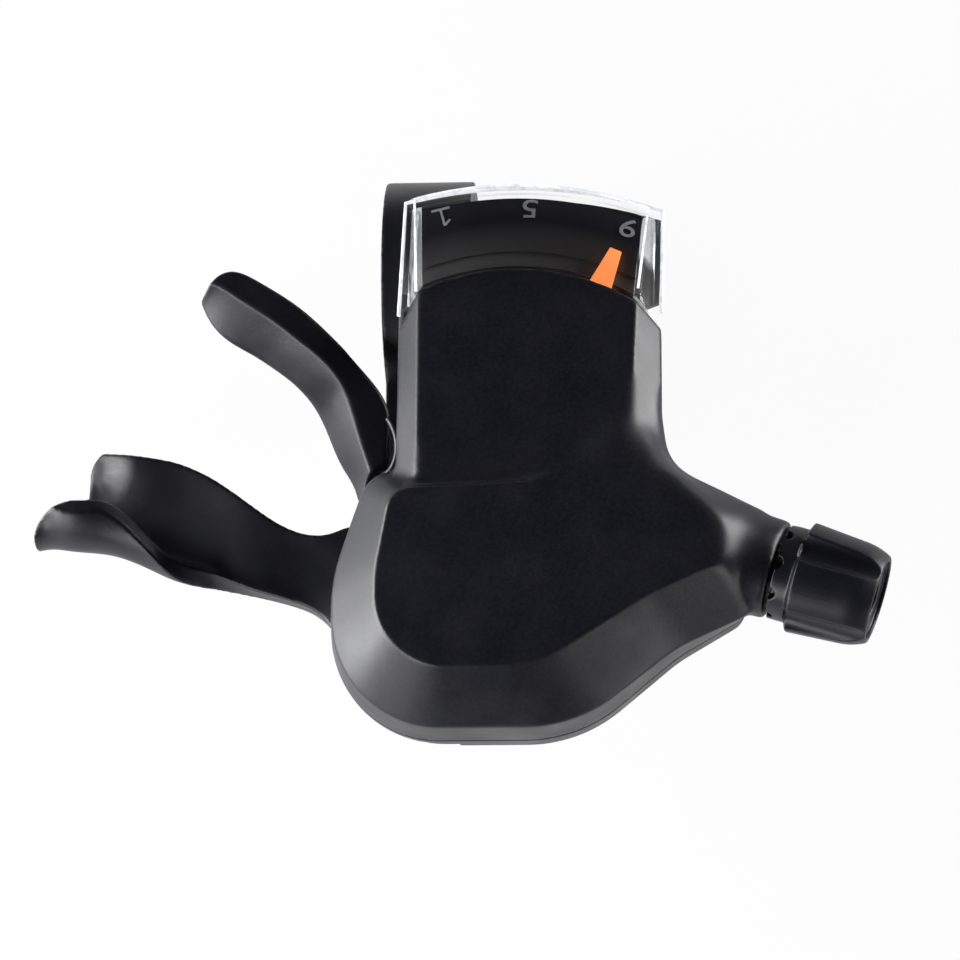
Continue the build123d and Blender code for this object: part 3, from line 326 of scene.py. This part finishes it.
def loosen_from_frame(node, name):
    """A copy of a CAD node with its triangles joined, free of the frame."""
    bpy.ops.object.select_all(action="DESELECT")
    source = frame["nodes"][node]
    source.select_set(True)
    bpy.context.view_layer.objects.active = source
    bpy.ops.object.duplicate()
    piece = bpy.context.object
    piece.name = name
    bpy.ops.object.parent_clear(type="CLEAR_KEEP_TRANSFORM")
    del piece["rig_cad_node"]
    bpy.ops.object.mode_set(mode="EDIT")
    bpy.ops.mesh.select_all(action="SELECT")
    bpy.ops.mesh.remove_doubles(threshold=MERGE_GAP)
    bpy.ops.object.mode_set(mode="OBJECT")
    return piece


def apply_modifier(piece, kind, **values):
    """Adds a modifier with its values and applies it."""
    modifier = piece.modifiers.new(kind.lower(), kind)
    for key, value in values.items():
        setattr(modifier, key, value)
    bpy.ops.object.modifier_apply(modifier=modifier.name)


def round_off(piece, passes, spots=()):
    """Smooths a piece all over, or only near some spots, each a place and a reach."""
    if not spots:
        apply_modifier(piece, "SMOOTH", factor=0.5, iterations=passes)
        return
    group = piece.vertex_groups.new(name="near_spots")
    for point in piece.data.vertices:
        nearness = 0.0
        for place, reach in spots:
            gap = (point.co - Vector(place) * MM).length / (reach * MM)
            nearness = max(nearness, 1.0 - gap * gap)
        if nearness > 0.0:
            group.add([point.index], min(1.0, 1.6 * nearness), "REPLACE")
    apply_modifier(piece, "SMOOTH", factor=0.5, iterations=passes, vertex_group=group.name)
    piece.vertex_groups.clear()


def moulded_shell(node, name, body, voxel, passes, most_faces, blends=()):
    """A moulded piece with soft edges in place of a CAD node's sharp ones."""
    piece = loosen_from_frame(node, name)
    apply_modifier(piece, "REMESH", mode="VOXEL", voxel_size=voxel * MM, adaptivity=0.0)
    for blend_passes, spots in blends:
        round_off(piece, blend_passes, spots)
    round_off(piece, passes)
    faces = 2 * len(piece.data.polygons)
    if faces > most_faces:
        apply_modifier(piece, "DECIMATE", decimate_type="COLLAPSE", ratio=most_faces / faces)
    bpy.ops.object.shade_smooth()
    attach(piece, body)
    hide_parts(node)
    return piece


def window_cap(edge):
    """The clear window, its edges broken by a fine bevel that carries the pale painted highlight, except
    where it is tucked under the cover.
    """
    piece = loosen_from_frame("display_lens", "window_cap")
    bpy.ops.object.mode_set(mode="EDIT")
    bpy.ops.mesh.select_all(action="SELECT")
    bpy.ops.mesh.dissolve_limited(angle_limit=math.radians(0.2))
    bpy.ops.object.mode_set(mode="OBJECT")
    piece.data.materials.append(edge)
    # The bevel faces take material 1, the painted edge highlight.
    apply_modifier(piece, "BEVEL", width=EDGE_BEVEL, segments=2, limit_method="ANGLE",
                   angle_limit=math.radians(28.0), material=1)
    for polygon in piece.data.polygons:
        if (polygon.center - PIVOT).y < TUCKED_END:
            polygon.material_index = 0
    bpy.ops.object.shade_smooth_by_angle(angle=math.radians(30.0))
    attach(piece, "housing")
    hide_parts("display_lens")


def lift_edge(piece, place, rise, reach):
    """Moves the stretch of edge at a place up or down, with the surface round it following."""
    bpy.ops.object.select_all(action="DESELECT")
    piece.select_set(True)
    bpy.context.view_layer.objects.active = piece
    spot = Vector(place) * MM
    bpy.ops.object.mode_set(mode="EDIT")
    bpy.ops.mesh.select_all(action="DESELECT")
    bpy.ops.object.mode_set(mode="OBJECT")
    for point in piece.data.vertices:
        point.select = (point.co - spot).length < GRAB_RADIUS
    bpy.ops.object.mode_set(mode="EDIT")
    bpy.ops.transform.translate(value=(0, 0, rise * MM), use_proportional_edit=True,
                                proportional_edit_falloff="SMOOTH", proportional_size=reach * MM)
    bpy.ops.object.mode_set(mode="OBJECT")


def round_bead(name, places, radius, material, kind="NURBS"):
    """A thin round bead along a line of places, fixed to the housing: a rib of the housing, or a line of
    painted highlight when it takes the window's edge material.
    """
    bpy.ops.object.select_all(action="DESELECT")
    bpy.ops.curve.primitive_nurbs_path_add()
    piece = bpy.context.object
    piece.name = name
    spline = piece.data.splines[0]
    spline.points.add(len(places) - len(spline.points))
    for point, place in zip(spline.points, places):
        point.co = (*(Vector(place) * MM), 1.0)
    spline.type = kind
    piece.data.bevel_depth = radius * MM
    piece.data.bevel_resolution = 6
    piece.data.resolution_u = 16
    piece.data.use_fill_caps = True
    bpy.ops.object.convert(target="MESH")
    piece = bpy.context.object
    settle(piece)
    bpy.ops.object.shade_smooth()
    piece.data.materials.clear()
    piece.data.materials.append(material)
    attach(piece, "housing")


def arch_share(knot, knots, across):
    """What one knot gives to a smooth arch through all of them, at a place across it."""
    share = knot[1]
    for other in knots:
        if other is not knot:
            share *= (across - other[0]) / (knot[0] - other[0])
    return share


def window_line(near, far, crest, start, height):
    """Places in mm along an edge of the window: up its left side, over the arched far end, down its right."""
    knots = (far[0], crest, far[1])
    flat = [(near[0], start)]
    for step in range(ARCH_STEPS + 1):
        across = far[0][0] + (far[1][0] - far[0][0]) * step / ARCH_STEPS
        flat.append((across, sum(arch_share(knot, knots, across) for knot in knots)))
    flat.append((near[1], start))
    base = PIVOT / MM + NECK_UPWARD * height
    return [base + Vector((across, 0.0, 0.0)) + NECK_AWAY * reach for across, reach in flat]


def square_to(place, side, top, upward):
    """The matrix that sets a piece at a place along three square directions."""
    return Matrix.Translation(place) @ Matrix((side, top, upward)).transposed().to_4x4()


def set_on_dial(piece, degrees, ink):
    """Lays a printed gear number on the dial, its top towards the needle's pivot."""
    turn = math.radians(degrees)
    outward = Vector((math.sin(turn), 0.0, 0.0)) + NECK_AWAY * math.cos(turn)
    place = PIVOT + outward * NUMBER_RADIUS + NECK_UPWARD * (DIAL_TOP + NUMBER_THICKNESS)
    piece.matrix_world = square_to(place, -outward.cross(NECK_UPWARD), -outward, NECK_UPWARD)
    settle(piece)
    piece.data.materials.clear()
    piece.data.materials.append(ink)
    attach(piece, "housing")


def written_number(text):
    """A gear number from the plain typeface, broadened."""
    bpy.ops.object.select_all(action="DESELECT")
    bpy.ops.object.text_add()
    piece = bpy.context.object
    piece.name = "gear_number_" + text
    piece.data.body = text
    piece.data.align_x = "CENTER"
    piece.data.align_y = "CENTER"
    piece.data.size = NUMBER_HEIGHT / TYPEFACE_HEIGHT
    piece.data.extrude = NUMBER_THICKNESS
    bpy.ops.object.convert(target="MESH")
    piece = bpy.context.object
    piece.scale.x = NUMBER_BREADTH
    settle(piece)
    return piece


def number_stroke(place, size, turn=0.0):
    """One straight stroke of a number."""
    bpy.ops.object.select_all(action="DESELECT")
    bpy.ops.mesh.primitive_cube_add(size=1.0, location=(*place, 0.0), rotation=(0.0, 0.0, turn))
    stroke = bpy.context.object
    stroke.scale = (*size, 2 * NUMBER_THICKNESS)
    settle(stroke)
    return stroke


def seriffed_one():
    """The number one, with a foot and a flag."""
    half = NUMBER_HEIGHT / 2
    stem = number_stroke((0.0, 0.0), (STROKE, NUMBER_HEIGHT))
    foot = number_stroke((0.0, STROKE / 2 - half), (0.95 * NUMBER_HEIGHT, STROKE))
    flag = number_stroke((-0.17 * NUMBER_HEIGHT, 0.36 * NUMBER_HEIGHT), (0.42 * NUMBER_HEIGHT, STROKE),
                         math.radians(38.0))
    for stroke in (foot, flag):
        bpy.context.view_layer.objects.active = stem
        apply_modifier(stem, "BOOLEAN", operation="UNION", object=stroke)
        bpy.data.objects.remove(stroke)
    stem.name = "gear_number_1"
    return stem


def soft_box(name, place, size, power):
    """A rectangular studio lamp aimed at the object."""
    bpy.ops.object.light_add(type="AREA", location=place)
    lamp = bpy.context.object
    lamp.name = name
    lamp.data.shape = "RECTANGLE"
    lamp.data.size = size[0]
    lamp.data.size_y = size[1]
    lamp.data.energy = power
    lamp.rotation_euler = (Vector(LAMP_AIM) - Vector(place)).to_track_quat("-Z", "Y").to_euler()


def light_studio():
    """Two large soft boxes at the sides, two weak ones low in front, and a faint world."""
    soft_box("left_box", (-0.43, -0.045, 0.10), (0.46, 0.24), 5.0)
    soft_box("right_box", (0.46, 0.16, 0.08), (0.30, 0.20), 2.6)
    soft_box("front_box", (-0.24, -0.36, 0.22), (0.18, 0.14), 0.9)
    soft_box("low_right_box", (0.32, -0.36, 0.09), (0.16, 0.14), 0.28)
    world = bpy.data.worlds.new("studio")
    bpy.context.scene.world = world
    world.use_nodes = True
    background = world.node_tree.nodes["Background"]
    background.inputs["Color"].default_value = (1.0, 1.0, 1.0, 1.0)
    background.inputs["Strength"].default_value = WORLD_GLOW


def lay_floor():
    """A wide pale floor that turns up into a backdrop far from the object."""
    bpy.ops.object.select_all(action="DESELECT")
    low = cad_box[0][2] - FLOOR_GAP
    bpy.ops.mesh.primitive_circle_add(vertices=96, radius=FLOOR_RADIUS, fill_type="NGON",
                                      location=(0, 0, low))
    floor = bpy.context.object
    floor.name = "floor"
    bpy.ops.object.mode_set(mode="EDIT")
    bpy.ops.mesh.select_all(action="SELECT")
    for rise, scale in ((0.05, 1.10), (0.20, 1.08), (0.45, 1.03)):
        bpy.ops.mesh.extrude_region_move(TRANSFORM_OT_translate={"value": (0, 0, rise)})
        bpy.ops.transform.resize(value=(scale, scale, 1))
    bpy.ops.mesh.delete(type="ONLY_FACE")
    bpy.ops.object.mode_set(mode="OBJECT")
    material, tree, shader = new_material("pale_floor", (0.86, 0.86, 0.86), 0.7)
    output = tree.nodes["Material Output"]
    path = add_node(tree, "ShaderNodeLightPath")
    share = add_node(tree, "ShaderNodeMath", operation="MULTIPLY")
    share.inputs[1].default_value = FLOOR_GLOW
    white = add_node(tree, "ShaderNodeEmission", Strength=1.0)
    mix = add_node(tree, "ShaderNodeMixShader")
    tree.links.new(path.outputs["Is Camera Ray"], share.inputs[0])
    tree.links.new(share.outputs[0], mix.inputs["Fac"])
    tree.links.new(shader.outputs["BSDF"], mix.inputs[1])
    tree.links.new(white.outputs["Emission"], mix.inputs[2])
    tree.links.new(mix.outputs["Shader"], output.inputs["Surface"])
    floor.data.materials.append(material)


def place_camera():
    """The photograph's view: nearly square to the cover's flat face."""
    towards = Vector((
        math.sin(CAMERA_TURN) * math.cos(CAMERA_LEAN),
        -math.sin(CAMERA_LEAN),
        math.cos(CAMERA_TURN) * math.cos(CAMERA_LEAN),
    ))
    right = Vector((math.cos(CAMERA_TURN), 0.0, -math.sin(CAMERA_TURN)))
    bpy.ops.object.camera_add()
    camera = bpy.context.object
    camera.matrix_world = square_to(CAMERA_PLACE, right, towards.cross(right), towards)
    camera.data.lens = CAMERA_LENS
    camera.data.sensor_width = CAMERA_SENSOR
    camera.data.clip_start = 0.01
    camera.data.clip_end = 20.0
    bpy.context.scene.camera = camera


place_camera()
lay_floor()
light_studio()
paint_nodes()

ink = number_print("number_print")
set_on_dial(seriffed_one(), -14.6, ink)
set_on_dial(written_number("5"), 3.0, ink)
set_on_dial(written_number("9"), 23.4, ink)

moulded_shell("top_cover", "upper_shell", "housing", 0.25, 6, 190000,
              [(120, NECK_ROOT), (60, NECK_LEFT_ROOT), (300, RIGHT_FLANK), (25, BOSS_ROOT)])
moulded_shell("bottom_cover", "lower_shell", "housing", 0.25, 4, 150000)
cover_finish = frame["nodes"]["top_cover"].data.materials[0]
round_bead("trigger_ear", TRIGGER_EAR, 0.45, cover_finish)

thumb_paddle = moulded_shell("main_lever_paddle", "thumb_paddle", "main_lever",
                             0.2, 14, 120000, [(150, LOBE_TIP)])
for place, rise, reach in LOBE_END:
    lift_edge(thumb_paddle, place, rise, reach)
finger_paddle = moulded_shell("trigger_paddle", "finger_paddle", "trigger", 0.18, 12, 100000)
for place, rise, reach in FINGER_REST:
    lift_edge(finger_paddle, place, rise, reach)
moulded_shell("adjuster_knob", "barrel_knob", "adjuster", 0.13, 6, 120000)

# Painted highlight along the window's edges: the bevel of the window cap, and two pale beads along its foot
# and crown.
edge = window_edge_painted_highlight("window_edge_painted_highlight")
window_cap(edge)
foot_line = window_line((-14.25, 18.1), ((-13.7, 37.0), (18.3, 35.4)), (1.8, 38.8), 21.5, -2.6)
crown_line = window_line((-11.9, 15.3), ((-12.3, 35.8), (16.6, 34.1)), (1.8, 37.5), 23.2, 0.8)
round_bead("window_foot_highlight_line", foot_line, 0.24, edge, "POLY")
round_bead("window_crown_highlight_line", crown_line, 0.17, edge, "POLY")
moulded_shell("bracket", "clamp_bracket", "housing", 0.22, 5, 150000)

bpy.context.scene.view_settings.view_transform = "Standard"
